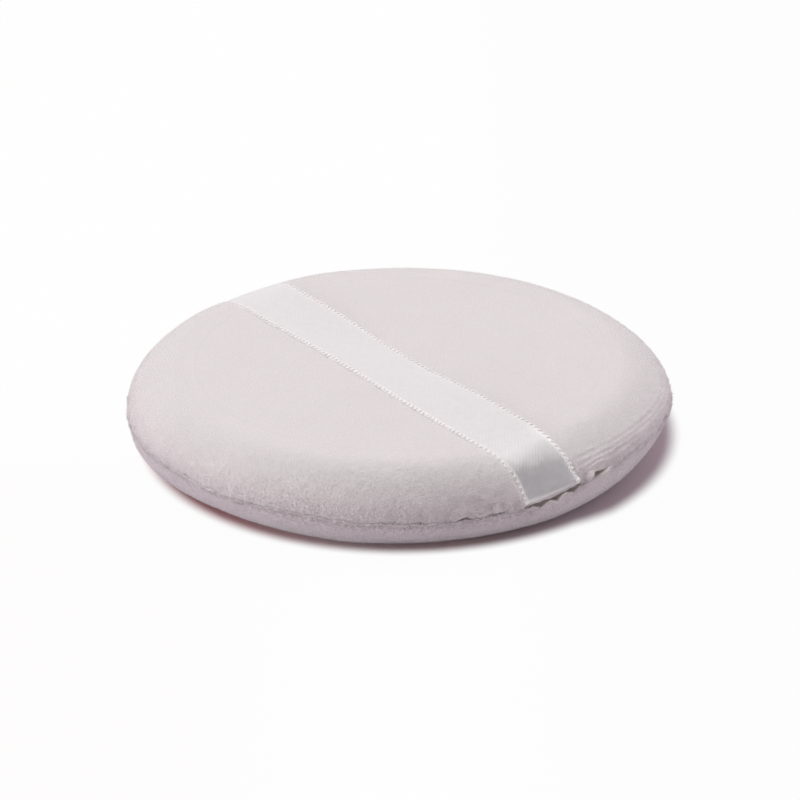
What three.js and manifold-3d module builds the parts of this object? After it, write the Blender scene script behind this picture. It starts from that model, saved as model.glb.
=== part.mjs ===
// A round velour powder puff: two velour covers sewn together round the rim over a foam disc,
// with a satin ribbon across the back whose two ends are caught in the rim seam.
// Millimetres, +Z up. The origin is the middle of the powder face, which lies on the table.
// The ribbon runs along X, a little to one side of the middle, and its near end is at +X.

import * as THREE from "three";
import { mergeGeometries, mergeVertices } from "three/addons/utils/BufferGeometryUtils.js";
import Module from "manifold-3d";

// Pad
const PUFF_DIAMETER = 86;
const PUFF_THICKNESS = 14;
const BACK_FLAT_DIAMETER = 70;
const BACK_CROWN = 0.3;
const BACK_SHOULDER_REACH = 3.5;
const BACK_WALL_REACH = 1.2;
const FACE_FLAT_DIAMETER = 67;
const FACE_SHOULDER_REACH = 3.5;
const FACE_WALL_REACH = 0.9;

// Cloth and seam
const CLOTH_THICKNESS = 0.8;
const FOLD_RADIUS = 0.6;
const SEAM_ALLOWANCE = 5;
const STITCH_INSET = 1.6;
const THREAD_DIAMETER = 0.4;
const STITCH_COUNT = 48;
const CLOSING_FIRST = 1;
const CLOSING_COUNT = 5;
const NEEDLE_HOLE_WIDTH = 1.1;
const NEEDLE_HOLE_LENGTH = 2.1;
const STITCH_DIP_LENGTH = 1.8;

// Ribbon
const RIBBON_WIDTH = 10;
const RIBBON_THICKNESS = 0.3;
const RIBBON_TAIL = 4.6;
const RIBBON_OFFSET = -3.5;

// Clear space between neighbouring pieces
const FIT_GAP = 0.3;

// Fineness of the curves
const SHOULDER_STEPS = 4;
const FOLD_STEPS = 2;
const STEPS_PER_STITCH = 6;
const THREAD_CURVE_SEGMENTS = 2;
const WELD_DISTANCE = 1e-4;

// Heights are measured from the seam, which lies half way up the pad
const seamHeight = PUFF_THICKNESS / 2;
const seamGap = RIBBON_THICKNESS + 2 * FIT_GAP;
const clothRadius = (PUFF_DIAMETER - CLOTH_THICKNESS) / 2;
const foldCentreRadius = clothRadius - FOLD_RADIUS;
const foldCentreHeight = (seamGap + CLOTH_THICKNESS) / 2 + FOLD_RADIUS;
const allowanceHeight = foldCentreHeight - FOLD_RADIUS;
const allowanceEnd = foldCentreRadius - SEAM_ALLOWANCE;

// Stitches sit half way between the corners of the rim
const stitchRadius = foldCentreRadius - STITCH_INSET;
const stitchTurn = (2 * Math.PI) / STITCH_COUNT;
const stitchPitch = stitchTurn * stitchRadius;
const dipShare = STITCH_DIP_LENGTH / 2 / stitchPitch;
const runHeight = allowanceHeight + CLOTH_THICKNESS / 2 + FIT_GAP + THREAD_DIAMETER / 2;
const lockHeight = (FIT_GAP + THREAD_DIAMETER) / 2;
const endGapShare = FIT_GAP / stitchPitch;

const wasm = await Module();
wasm.setup();

const velour = new THREE.MeshStandardMaterial({ color: 0xe4dfdd, roughness: 0.95, metalness: 0 });
const foam = new THREE.MeshStandardMaterial({ color: 0xf2eedf, roughness: 1, metalness: 0 });
const satin = new THREE.MeshStandardMaterial({ color: 0xeeecea, roughness: 0.35, metalness: 0 });
const thread = new THREE.MeshStandardMaterial({ color: 0xf4f2ee, roughness: 0.6, metalness: 0 });

// The middle of the cloth of one cover, from the axis out to the rim, round the fold and back in
// along the seam allowance. x is the radius and y the height above or below the seam.
function coverLine(flatRadius, crown, shoulderReach, wallReach) {
  const middle = seamHeight - CLOTH_THICKNESS / 2;
  const edge = middle - crown;
  const shoulder = new THREE.CubicBezierCurve(
    new THREE.Vector2(flatRadius, edge),
    new THREE.Vector2(flatRadius + shoulderReach, edge),
    new THREE.Vector2(clothRadius, foldCentreHeight + wallReach),
    new THREE.Vector2(clothRadius, foldCentreHeight)
  );
  const fold = new THREE.EllipseCurve(
    foldCentreRadius,
    foldCentreHeight,
    FOLD_RADIUS,
    FOLD_RADIUS,
    0,
    -Math.PI / 2,
    true
  );
  return [
    new THREE.Vector2(0, middle),
    ...shoulder.getPoints(SHOULDER_STEPS),
    ...fold.getPoints(FOLD_STEPS).slice(1),
    new THREE.Vector2(allowanceEnd, allowanceHeight)
  ];
}

// The same line moved sideways: a positive distance goes towards the outside of the cover.
function offsetLine(line, distance) {
  return line.map((point, i) => {
    const onAxis = new THREE.Vector2(-line[1].x, line[1].y);
    const before = i === 0 ? onAxis : line[i - 1];
    const after = line[Math.min(i + 1, line.length - 1)];
    const along = after.clone().sub(before).normalize();
    return new THREE.Vector2(point.x - along.y * distance, point.y + along.x * distance);
  });
}

// The part of a line inside a radius, ending on that radius.
function trimToRadius(line, radius) {
  const next = line.findIndex((point) => point.x > radius);
  const inner = line[next - 1];
  const share = (radius - inner.x) / (line[next].x - inner.x);
  return [...line.slice(0, next), inner.clone().lerp(line[next], share)];
}

function flipped(line) {
  return line.map((point) => new THREE.Vector2(point.x, -point.y));
}

// Turns a closed outline round the Z axis; the outline runs anticlockwise.
function revolve(outline) {
  const geometry = new THREE.LatheGeometry(outline, STITCH_COUNT);
  geometry.rotateX(Math.PI / 2);
  geometry.translate(0, 0, seamHeight);
  return geometry;
}

function toSolid(geometry) {
  const bare = new THREE.BufferGeometry();
  bare.setAttribute("position", geometry.getAttribute("position"));
  bare.setIndex(geometry.getIndex());
  const welded = mergeVertices(bare, WELD_DISTANCE);
  const index = welded.getIndex().array;
  const triangles = [];
  for (let i = 0; i < index.length; i += 3) {
    const [a, b, c] = index.slice(i, i + 3);
    if (a !== b && b !== c && c !== a) {
      triangles.push(a, b, c);
    }
  }
  return new wasm.Manifold(
    new wasm.Mesh({
      numProp: 3,
      vertProperties: new Float32Array(welded.getAttribute("position").array),
      triVerts: new Uint32Array(triangles)
    })
  );
}

function fromSolid(solid) {
  const cut = solid.getMesh();
  const geometry = new THREE.BufferGeometry();
  geometry.setAttribute("position", new THREE.BufferAttribute(cut.vertProperties, 3));
  geometry.setIndex(new THREE.BufferAttribute(cut.triVerts, 1));
  geometry.computeVertexNormals();
  return geometry;
}

// Needle holes of the stitches named by their places round the rim.
function needleHoles(places) {
  const height = 2 * (allowanceHeight + CLOTH_THICKNESS);
  const holes = places.map((place) => {
    const hole = new THREE.BoxGeometry(NEEDLE_HOLE_WIDTH, NEEDLE_HOLE_LENGTH, height);
    hole.translate(stitchRadius, 0, seamHeight);
    hole.rotateZ((place + 0.5) * stitchTurn);
    return hole;
  });
  return toSolid(mergeGeometries(holes));
}

function punched(geometry, places) {
  return fromSolid(toSolid(geometry).subtract(needleHoles(places)));
}

// A thread that follows the stitch circle; lift gives its height at each place along the stitches.
class StitchPath extends THREE.Curve {
  constructor(first, count, lift) {
    super();
    this.first = first + endGapShare;
    this.count = count - 2 * endGapShare;
    this.lift = lift;
  }

  getPoint(t, target = new THREE.Vector3()) {
    const place = this.first + t * this.count;
    const turn = place * stitchTurn;
    const height = seamHeight + this.lift(place);
    return target.set(stitchRadius * Math.cos(turn), stitchRadius * Math.sin(turn), height);
  }
}

// A machine thread runs along one side of the allowances and dips into every hole to its partner.
function dippingLift(side) {
  return (place) => {
    const fromHole = Math.abs(place - Math.floor(place) - 0.5);
    const dip = fromHole < dipShare ? (1 + Math.cos((Math.PI * fromHole) / dipShare)) / 2 : 0;
    return side * (runHeight - (runHeight - lockHeight) * dip);
  };
}

// The hand thread that closes the turning gap passes right through, over and under in turn.
function runningLift(place) {
  const stitch = Math.floor(place);
  const fromHole = place - stitch - 0.5;
  const side = stitch % 2 === 0 ? 1 : -1;
  const passed = THREE.MathUtils.clamp(fromHole / dipShare, -1, 1);
  return -side * runHeight * Math.sin((passed * Math.PI) / 2);
}

function threadAlong(first, count, lift) {
  const section = new THREE.Shape();
  section.absarc(0, 0, THREAD_DIAMETER / 2, 0, 2 * Math.PI);
  return new THREE.ExtrudeGeometry(section, {
    steps: count * STEPS_PER_STITCH,
    curveSegments: THREAD_CURVE_SEGMENTS,
    bevelEnabled: false,
    extrudePath: new StitchPath(first, count, lift)
  });
}

// A block as wide as the ribbon, between two places along it and two heights from the seam.
function ribbonBlock(from, to, bottom, top) {
  const block = new THREE.BoxGeometry(to - from, RIBBON_WIDTH, top - bottom);
  block.translate((from + to) / 2, RIBBON_OFFSET, seamHeight + (bottom + top) / 2);
  return toSolid(block);
}

function mesh(name, geometry, material) {
  const piece = new THREE.Mesh(geometry, material);
  piece.name = name;
  return piece;
}

const backLine = coverLine(BACK_FLAT_DIAMETER / 2, BACK_CROWN, BACK_SHOULDER_REACH, BACK_WALL_REACH);
const faceLine = coverLine(FACE_FLAT_DIAMETER / 2, 0, FACE_SHOULDER_REACH, FACE_WALL_REACH);
const halfCloth = CLOTH_THICKNESS / 2;
const allStitches = Array.from({ length: STITCH_COUNT }, (_, place) => place);

// Covers
const backOutline = [...offsetLine(backLine, -halfCloth), ...offsetLine(backLine, halfCloth).reverse()];
const faceOutline = [...offsetLine(faceLine, halfCloth), ...offsetLine(faceLine, -halfCloth).reverse()];
const backCover = punched(revolve(backOutline), allStitches);
const faceCover = punched(revolve(flipped(faceOutline)), allStitches);

// Foam disc, as wide as the seam allowances let it be and as thick as the covers leave room for
const foamRadius = allowanceEnd - FIT_GAP;
const foamTop = trimToRadius(offsetLine(backLine, -halfCloth - FIT_GAP), foamRadius);
const foamBottom = trimToRadius(offsetLine(faceLine, -halfCloth - FIT_GAP), foamRadius);
const foamCore = revolve([...flipped(foamBottom), ...foamTop.reverse()]);

// Threads: the lockstitch goes round all but the turning gap, which the closing thread shuts
const lockFirst = CLOSING_FIRST + CLOSING_COUNT;
const lockCount = STITCH_COUNT - CLOSING_COUNT;
const needleThread = threadAlong(lockFirst, lockCount, dippingLift(1));
const bobbinThread = threadAlong(lockFirst, lockCount, dippingLift(-1));
const closingThread = threadAlong(CLOSING_FIRST, CLOSING_COUNT, runningLift);

// Ribbon: it lies one gap above the back cover and follows it round the rim into the seam, between
// the two allowances. Its free span ends where it stands upright at the rim, and the two tails
// below stay sewn in the seam.
const ribbonUnder = offsetLine(backLine, halfCloth + FIT_GAP);
const ribbonOver = offsetLine(backLine, halfCloth + FIT_GAP + RIBBON_THICKNESS);
const overBack = toSolid(revolve([...ribbonUnder, ...ribbonOver.reverse()]));
const tailStart = foldCentreRadius - RIBBON_TAIL;
const spanStart = foldCentreHeight + FIT_GAP;
const spanBlock = ribbonBlock(-PUFF_DIAMETER, PUFF_DIAMETER, spanStart, PUFF_THICKNESS);
const nearBlock = ribbonBlock(tailStart, PUFF_DIAMETER, -PUFF_THICKNESS, foldCentreHeight);
const farBlock = ribbonBlock(-PUFF_DIAMETER, -tailStart, -PUFF_THICKNESS, foldCentreHeight);
const ribbonHoles = needleHoles(allStitches);
const ribbonSpan = fromSolid(overBack.intersect(spanBlock));
const nearTail = fromSolid(overBack.intersect(nearBlock).subtract(ribbonHoles));
const farTail = fromSolid(overBack.intersect(farBlock).subtract(ribbonHoles));

const pad = new THREE.Group();
pad.name = "pad";
pad.add(mesh("back_cover", backCover, velour));
pad.add(mesh("face_cover", faceCover, velour));
pad.add(mesh("foam_core", foamCore, foam));

const seam = new THREE.Group();
seam.name = "rim_seam";
seam.add(mesh("needle_thread", needleThread, thread));
seam.add(mesh("bobbin_thread", bobbinThread, thread));
seam.add(mesh("closing_thread", closingThread, thread));

const ribbon = new THREE.Group();
ribbon.name = "ribbon";
ribbon.add(mesh("ribbon_span", ribbonSpan, satin));
ribbon.add(mesh("ribbon_near_tail", nearTail, satin));
ribbon.add(mesh("ribbon_far_tail", farTail, satin));

const puff = new THREE.Group();
puff.name = "powder_puff";
puff.add(pad, seam, ribbon);

export default puff;
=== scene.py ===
import math

import bpy
import numpy as np
from mathutils import Matrix, Vector


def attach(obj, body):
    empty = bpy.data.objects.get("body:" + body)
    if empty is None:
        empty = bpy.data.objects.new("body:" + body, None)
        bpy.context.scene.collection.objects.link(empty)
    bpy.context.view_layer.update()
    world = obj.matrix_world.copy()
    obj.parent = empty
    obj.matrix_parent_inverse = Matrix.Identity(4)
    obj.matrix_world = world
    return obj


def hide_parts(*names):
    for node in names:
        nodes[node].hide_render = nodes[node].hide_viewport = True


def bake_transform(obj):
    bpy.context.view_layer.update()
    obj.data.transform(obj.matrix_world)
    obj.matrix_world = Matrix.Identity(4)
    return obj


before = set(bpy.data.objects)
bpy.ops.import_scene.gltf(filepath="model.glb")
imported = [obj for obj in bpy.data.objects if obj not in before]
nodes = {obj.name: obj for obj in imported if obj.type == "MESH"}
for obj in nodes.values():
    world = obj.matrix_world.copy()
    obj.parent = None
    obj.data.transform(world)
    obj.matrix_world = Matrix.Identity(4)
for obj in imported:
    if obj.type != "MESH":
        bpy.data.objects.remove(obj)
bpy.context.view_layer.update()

MM = 0.001

# Pad, in millimetres. Each cover goes from its flat middle over a shoulder and down a wall to
# its lip at the seam, and its edge is turned in there.
PAD_RADIUS = 43.0
SEAM_HEIGHT = 7.0
COVER_HEIGHT = 7.0
BACK_FLAT_RADIUS = 35.0
BACK_CROWN = 0.3
BACK_SHOULDER_REACH = 4.5
BACK_WALL_REACH = 2.2
BACK_FINE_REACH = 13.0
FACE_FLAT_RADIUS = 34.7
FACE_CROWN = 0.0
FACE_SHOULDER_REACH = 3.0
FACE_WALL_REACH = 3.0
FACE_FINE_REACH = 9.0
LIP_RADIUS = 0.07
LIP_GAP = 0.005
ALLOWANCE_END = 37.0
PILE_CLOTH = 0.8
INSIDE_MARK = -9.0

# Turning gap beside the ribbon's near end, in degrees and millimetres, and the lip of the powder
# face that rolls out of it
GAP_ANGLE = 7.4
GAP_HALF_WIDTH = 3.3
BACK_OPENING = 0.60
FACE_OPENING = 0.34
ROLL_ANGLE = 9.6
ROLL_HALF_WIDTH = 1.7
ROLL_SIZE = 0.62
ROLL_RISE = 0.9

# Zones of the rim: the radii over which a shape grows from 0 to 1, and the heights from the seam
# over which it fades out again
RISE_ZONE = ((31, 42), (0.4, 6.8))
WAVES_ZONE = ((37, 40), (0.2, 1.6))
OPENING_ZONE = ((40.6, 42.4), (0.6, 3.4))
ROLL_ZONE = ((40.5, 42.3), (0.5, 2.2))
POCKET_ZONE = ((40.4, 42.3), (0.3, 2.6))
UNDER_RIBBON_ZONE = ((36, 38), (0.4, 1.6))

# Noise of the cloth: height, size and seed of each layer, in millimetres
LIP_WAVES = ((0.13, 1.7, 31), (0.07, 0.8, 32))
SEAM_WAVES = ((0.13, 1.9, 13), (0.08, 0.9, 14))
BACK_SWELL = ((0.14, 17, 11), (0.06, 6.5, 12))
BACK_LUMPS = ((0.42, 1.15, 17), (0.22, 0.7, 18))
FACE_SOFTNESS = ((0.10, 12, 21), (0.05, 4, 22))
FACE_CLUMPS = ((0.03, 0.75, 25), (0.03, 0.42, 26))

# Single bumps: height, angle and its half width, distance from the seam and its half width
CORNER_TUFT = (0.85, 5.2, 0.8, 0.6, 0.55)
LEFT_DENT = (-0.22, -80.5, 2.4, 4.6, 1.2)
ROLLED_LIP = (0.22, 9.4, 3.4, 0.55, 0.5)

# Ribbon, in millimetres
RIBBON_WIDTH = 10.0
RIBBON_OFFSET = -3.5
RIBBON_BOW = 0.6
RIBBON_DRIFT = 1.0
RIBBON_FAR_TURN = 1.0
RIBBON_THICKNESS = 0.16
RIBBON_CLEARANCE = 0.16
RIBBON_SINK = 0.10
RIBBON_TAIL = 4.6
RIBBON_TWIST = {1: 1.0, -1: 1.2}
RIBBON_EDGE_DROOP = 0.12
# Depth, distance from the seam and its half width
RIBBON_GROOVE = (0.48, 3.0, 2.0)
RIBBON_PULL = (0.6, 9.5, 4.5)
BEAD_PLACE = 0.95
KNOT_PLACE = 6.0
KNOT_SIZE = (0.38, 0.40, 0.30)
KNOT_SHIFT = (0.12, 0, 0)
BEADED_FROM = 4.0
BEAD_PITCH = 0.93
BEAD_SIZE = np.array([0.42, 0.20, 0.15])
BEAD_SLANTS = {-1: 25, 1: -20}
BEAD_LIFT = 0.06
BEAD_UNEVENNESS = 0.06
RAIL_PLACES = (0.885, 1.0)
RAIL_RADIUS = 0.07
RAIL_LIFT = 0.04
RAIL_SIDES = 6

# Foam, in millimetres
FOAM_RADIUS = 36.5
FOAM_THICKNESS = 11.2
FOAM_EDGE = 3.0
FOAM_RINGS = 12
FOAM_TURNS = 240

# Pile, in millimetres
PILE_SPACING = 0.27
TOP_PILE_SPACING = 0.34
PILE_WIDTH = 0.12
PILE_DEPTH = 0.08
BACK_PILE_LENGTH = 0.32
TOP_PILE_LENGTH = 0.35
FACE_PILE_LENGTH = 0.28
BACK_PILE_REACH = 14.0
TOP_PILE_RADIUS = 32.0
FACE_PILE_REACH = 9.0
BACK_PILE_FADE = (5, BACK_PILE_REACH)
FACE_PILE_FADE = (4, FACE_PILE_REACH)
PILE_LEAN = 0.15
PILE_SPREAD = 0.20
PILE_CLOTH_SHADING = 0.90
NAP_LAY = np.array([0.0, 0.6, 0.0])
NAP_ROWS = np.array([1.0, 0.3, 0.3])

# Fineness
CURVE_POINTS = 200
LIP_POINTS = 40
LIP_ZONE, LIP_STEP, RIM_STEP = 1.5, 0.13, 0.28
FIRST_TOP_STEP, LAST_TOP_STEP, TOP_STEPS = 0.35, 3.4, 20
TURNS = 1080
RIBBON_COLUMNS = 20
RIBBON_STEP = 0.4


def smoothstep(low, high, x):
    """Soft step from 0 to 1 as x goes from low to high."""
    t = np.clip((np.asarray(x, float) - low) / (high - low), 0, 1)
    return t * t * (3 - 2 * t)


def bell(x, centre, width):
    """Soft hump of height 1."""
    return np.exp(-(((np.asarray(x, float) - centre) / width) ** 2))


# Large odd numbers that stir a place of the grid into noise
HASH_X, HASH_Y, HASH_Z, HASH_SEED = 374761393, 668265263, 2246822519, 3266489917
HALF_RANGE = 2147483647.5


def lattice(ix, iy, iz, seed):
    """One repeatable number from -1 to 1 for each point of a grid. The products are meant to
    overflow."""
    x, y, z = (i.astype(np.uint32) for i in (ix, iy, iz))
    with np.errstate(over="ignore"):
        h = x * np.uint32(HASH_X) + y * np.uint32(HASH_Y) + z * np.uint32(HASH_Z)
        h = h + np.uint32(seed * HASH_SEED % 2**32)
        h ^= h >> np.uint32(15)
        h *= np.uint32(HASH_Z)
        h ^= h >> np.uint32(13)
        h *= np.uint32(HASH_SEED)
        h ^= h >> np.uint32(16)
    return h.astype(np.float64) / HALF_RANGE - 1


def noise(p, scale, seed):
    """Smooth noise of about -1 to 1 at points p, with lumps of about that size."""
    q = np.asarray(p, float) / scale + 1000.0
    base = np.floor(q)
    f = q - base
    f = f * f * f * (f * (6 * f - 15) + 10)
    i = base.astype(np.int64)
    total = np.zeros(q.shape[:-1])
    for dx in (0, 1):
        for dy in (0, 1):
            for dz in (0, 1):
                w = np.where(dx, f[..., 0], 1 - f[..., 0])
                w = w * np.where(dy, f[..., 1], 1 - f[..., 1])
                w = w * np.where(dz, f[..., 2], 1 - f[..., 2])
                total += w * lattice(i[..., 0] + dx, i[..., 1] + dy, i[..., 2] + dz, seed)
    return total


def layers(p, table):
    """Noise of several sizes at points p, added up."""
    return sum(height * noise(p, size, seed) for height, size, seed in table)


def soft_bump(angle, s, shape):
    """One soft bump at an angle round the pad and a distance s from the seam."""
    height, middle, half_width, place, reach = shape
    return height * bell(angle, middle, half_width) * bell(s, place, reach)


def rim_zone(r, h, zone):
    """Share of a shape that a place on the rim takes part in, 0 to 1."""
    radii, heights = zone
    return smoothstep(*radii, r) * (1 - smoothstep(*heights, h))


def bezier(p0, p1, p2, p3, count):
    """Points along a cubic curve."""
    t = np.linspace(0, 1, count)[:, None]
    p0, p1, p2, p3 = (np.array(p, float) for p in (p0, p1, p2, p3))
    return (1 - t) ** 3 * p0 + 3 * (1 - t) ** 2 * t * p1 + 3 * (1 - t) * t * t * p2 + t**3 * p3


def resample(line, places):
    """Points of a polyline at given distances along it."""
    step = np.hypot(*np.diff(line, axis=0).T)
    along = np.concatenate([[0], np.cumsum(step)])
    return np.stack([np.interp(places, along, line[:, k]) for k in range(2)], 1)


def length_of(line):
    """Length of a polyline."""
    return float(np.hypot(*np.diff(line, axis=0).T).sum())


def outer_line(flat_radius, crown, shoulder_reach, wall_reach):
    """Outside of a cover in (radius, height from the seam), from the axis to the bottom of its
    lip."""
    r = np.linspace(0, flat_radius, CURVE_POINTS)
    flat = np.stack([r, COVER_HEIGHT - crown * (r / flat_radius) ** 2], 1)
    lip = LIP_RADIUS + LIP_GAP
    edge = COVER_HEIGHT - crown
    wall = bezier(
        (flat_radius, edge),
        (flat_radius + shoulder_reach, edge),
        (PAD_RADIUS, lip + wall_reach),
        (PAD_RADIUS, lip),
        CURVE_POINTS,
    )
    a = np.linspace(0, -math.pi / 2, LIP_POINTS)
    arc = np.stack(
        [PAD_RADIUS - LIP_RADIUS + LIP_RADIUS * np.cos(a), lip + LIP_RADIUS * np.sin(a)], 1
    )
    return np.concatenate([flat, wall[1:], arc[1:]])


def rim_rings(line, fine_reach):
    """Rings of one cover: (radius, height) and distance from the seam, outside first, then the
    seam allowance and the inside of the cloth."""
    total = length_of(line)
    lip_places = np.arange(0, LIP_ZONE, LIP_STEP)
    fine = np.concatenate([lip_places, np.arange(LIP_ZONE, fine_reach, RIM_STEP)])
    coarse = fine_reach + np.cumsum(np.linspace(FIRST_TOP_STEP, LAST_TOP_STEP, TOP_STEPS))
    coarse = coarse[coarse < total - 0.5]
    from_seam = np.concatenate([fine, coarse, [total]])[::-1]
    outside = resample(line, total - from_seam)
    end = ALLOWANCE_END
    allowance_r = np.linspace(PAD_RADIUS - LIP_RADIUS - 0.3, end, 8)
    allowance = np.stack([allowance_r, np.full_like(allowance_r, LIP_GAP)], 1)
    inside = np.array(
        [
            (end - 0.15, LIP_GAP + 0.2),
            (end - 0.1, LIP_GAP + 0.6),
            (end + 0.3, LIP_GAP + PILE_CLOTH),
            (PAD_RADIUS - 2.8, LIP_GAP + PILE_CLOTH),
            (PAD_RADIUS - 2.1, LIP_GAP + 1.5),
            (PAD_RADIUS - 2.9, LIP_GAP + 2.8),
            (PAD_RADIUS - 5.6, LIP_GAP + 4.6),
            (32.5, 5.6),
            (18.0, 5.8),
            (0.0, 5.8),
        ]
    )
    rings = np.concatenate([outside, allowance, inside])
    seam_distance = np.concatenate(
        [from_seam, allowance_r - (PAD_RADIUS - LIP_RADIUS), np.full(len(inside), INSIDE_MARK)]
    )
    return rings, seam_distance


def line_normals(rings):
    """Outward normals of a profile whose ends lie on the axis."""
    before = np.roll(rings, 1, 0)
    after = np.roll(rings, -1, 0)
    before[0] = (-rings[1, 0], rings[1, 1])
    after[-1] = (-rings[-2, 0], rings[-2, 1])
    along = after - before
    along /= np.linalg.norm(along, axis=1)[:, None]
    return np.stack([-along[:, 1], along[:, 0]], 1)


# Rise of the seam by angle round the pad, most beside the ribbon's near end, where the turning
# gap was closed
SEAM_RISE = (
    (-180, 0), (-130, 0.1), (-99, 0.4), (-85, 0.7), (-72, 0.55), (-57, 0.5), (-50, 0.2),
    (-42, 0.0), (-35, -0.2), (-28, -0.15), (-20, 0.0), (-15, 0.0), (-10, 0.0), (2.5, 1.05),
    (10, 1.95), (24, 2.1), (38, 1.8), (56, 0.9), (80, 0.2), (180, 0),
)  # fmt: skip


def from_table(angle, table):
    """Value at an angle, from a table of angles and values."""
    return np.interp(angle, *zip(*table))


def seam_rise(angle):
    """Height of the seam over its usual place, with the corners of the table rounded off."""
    fine = np.arange(-180, 181, 1.0)
    raw = from_table(fine, SEAM_RISE)
    kernel = bell(np.arange(-8, 9), 0, 2.5)
    soft = np.convolve(np.pad(raw, 8, mode="edge"), kernel / kernel.sum(), "valid")
    return np.interp(angle, fine, soft)


def rim_place(angle, height):
    """Place on the rim at which noise is read, so that it follows the seam."""
    a = np.radians(angle)
    return np.stack([np.cos(a) * PAD_RADIUS, np.sin(a) * PAD_RADIUS, height + 0 * a], -1)


def lip_waves(angle):
    """Small ups and downs of both lips."""
    return layers(rim_place(angle, 0), LIP_WAVES)


def rise_share(radius, height):
    """How much of the seam's rise a place takes part in, 0 to 1."""
    return rim_zone(radius, np.abs(height), RISE_ZONE)


# Open places under the ribbon's near end, and the folds between them: angle, half width, depth
POCKETS = (
    (-7.2, 1.6, 0.46),
    (-5.2, 0.9, -0.26),
    (-3.4, 1.1, 0.42),
    (-1.4, 0.9, -0.26),
    (0.4, 1.1, 0.38),
)


def gap_shape(angle):
    """Half-open almond of the turning gap, 0 to 1."""
    return np.clip(1 - ((angle - GAP_ANGLE) / GAP_HALF_WIDTH) ** 2, 0, 1)


def ribbon_middle(x):
    """Y of the ribbon's middle, which drifts a little toward both ends."""
    drift = RIBBON_DRIFT * smoothstep(26, 43, x) + RIBBON_FAR_TURN * smoothstep(-24, -43, x)
    return RIBBON_OFFSET - RIBBON_BOW * smoothstep(-20, 12, x) + drift


def ribbon_cover(p):
    """How far a place on the back lies under the ribbon, 0 to 1."""
    across = np.abs(p[..., 1] - ribbon_middle(p[..., 0]))
    return 1 - smoothstep(RIBBON_WIDTH / 2 - 0.1, RIBBON_WIDTH / 2 + 0.5, across)


def groove(s):
    """How far the ribbon sinks into the nap at a distance from the seam."""
    depth, place, reach = RIBBON_GROOVE
    return depth * bell(s, place, reach)


def back_swell(p):
    """Slow unevenness of the back, which the ribbon follows."""
    return layers(p, BACK_SWELL)


def ribbon_pull(s):
    """How far the sewn ribbon draws the shoulder down."""
    depth, place, reach = RIBBON_PULL
    return depth * bell(s, place, reach)


def stitch_dips(angle):
    """Where the seam shows between stitches, 0 to 1."""
    return smoothstep(0.15, 0.6, noise(rim_place(angle, 0), 1.3, 33))


def seam_pucker(angle, s):
    """Unevenness that both covers share where they meet: soft waves, and short dips between
    stitches."""
    rim = rim_place(angle, s * 0.28)
    waves = np.exp(-s / 1.6) * layers(rim, SEAM_WAVES)
    return waves - 0.04 * stitch_dips(angle) * bell(s, 0, 0.5)


# Wrinkles that run from the turning gap along the rim, by distance from the seam
WRINKLE_PLACES = (1.0, 2.1, 3.3, 4.6)
WRINKLE_DEPTH = 0.095
WRINKLE_RIDGE = 0.05


def back_relief(p, angle, s):
    """Movement along the cloth's normal, in millimetres, on the outside of the back cover, at
    places p with their angle round the pad and distance s from the seam."""
    rim = rim_place(angle, s * 0.28)
    under = ribbon_cover(p)
    pucker = seam_pucker(angle, s)
    clump_zone = np.exp(-np.clip(s - 0.5, 0, None) / 1.9)
    clumps = (0.012 + 0.045 * clump_zone) * noise(p * NAP_ROWS, 0.6, 15)
    clumps = clumps + (0.008 + 0.02 * clump_zone) * noise(p, 0.42, 16)
    near_gap = smoothstep(2, 6, angle) * (1 - smoothstep(28, 55, angle))
    wrinkles = np.zeros_like(s)
    for k, place in enumerate(WRINKLE_PLACES):
        bend = place * (1 - 0.010 * np.clip(angle - 8, 0, 30)) + 0.25 * noise(rim, 5, 40 + k)
        depth = WRINKLE_DEPTH * (1 + 0.7 * noise(rim, 3.0, 50 + k))
        wrinkles -= depth * bell(s, bend, 0.42)
        wrinkles += WRINKLE_RIDGE * bell(s, bend + 0.6, 0.38)
    wrinkles *= near_gap
    lump_zone = bell(angle, -19, 7) * np.exp(-np.clip(s, 0, None) / 2.4)
    lumps = lump_zone * layers(p, BACK_LUMPS)
    total = (pucker + clumps + lumps + wrinkles) * (1 - under)
    total = total + soft_bump(angle, s, CORNER_TUFT) + soft_bump(angle, s, LEFT_DENT)
    drawn = ribbon_pull(s) * bell(p[..., 1], ribbon_middle(p[..., 0]), 8.0)
    return total + back_swell(p) - (groove(s) + RIBBON_SINK) * under - drawn


# Bulge of the powder face's wall by angle round the pad
FACE_SWELL = (
    (-180, 0), (-160, 0.15), (-126, 0.55), (-110, 0.75), (-98, 0.6), (-90, 0.3), (-81, 0.0),
    (-70, -0.15), (-58, -0.08), (-47, 0.1), (-36, 0), (-25, -0.05), (-14, -0.15), (0, -0.1),
    (60, 0), (180, 0),
)  # fmt: skip


def face_swell(angle, height):
    """How far the powder face bulges outward at a height below the seam."""
    wall = smoothstep(0.3, 3.0, height) * (1 - smoothstep(5.2, 6.9, height))
    return from_table(angle, FACE_SWELL) * wall


def face_relief(p, angle, s):
    """Movement along the cloth's normal, in millimetres, on the outside of the powder face."""
    flat = 1 - smoothstep(6.6, 6.95, np.abs(p[..., 2] - SEAM_HEIGHT))
    near_seam = np.exp(-np.clip(s, 0, None) / 1.6)
    pucker = seam_pucker(angle, s)
    rolled = soft_bump(angle, s, ROLLED_LIP)
    soft = layers(p, FACE_SOFTNESS)
    clumps = layers(p, FACE_CLUMPS)
    swell = face_swell(angle, SEAM_HEIGHT - p[..., 2])
    ledge = 0.12 * bell(s, 0.25, 0.3) * (1 - bell(angle, 0, 12))
    return (soft + clumps * (1 + 1.5 * near_seam)) * flat + pucker + rolled + swell + ledge


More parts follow.
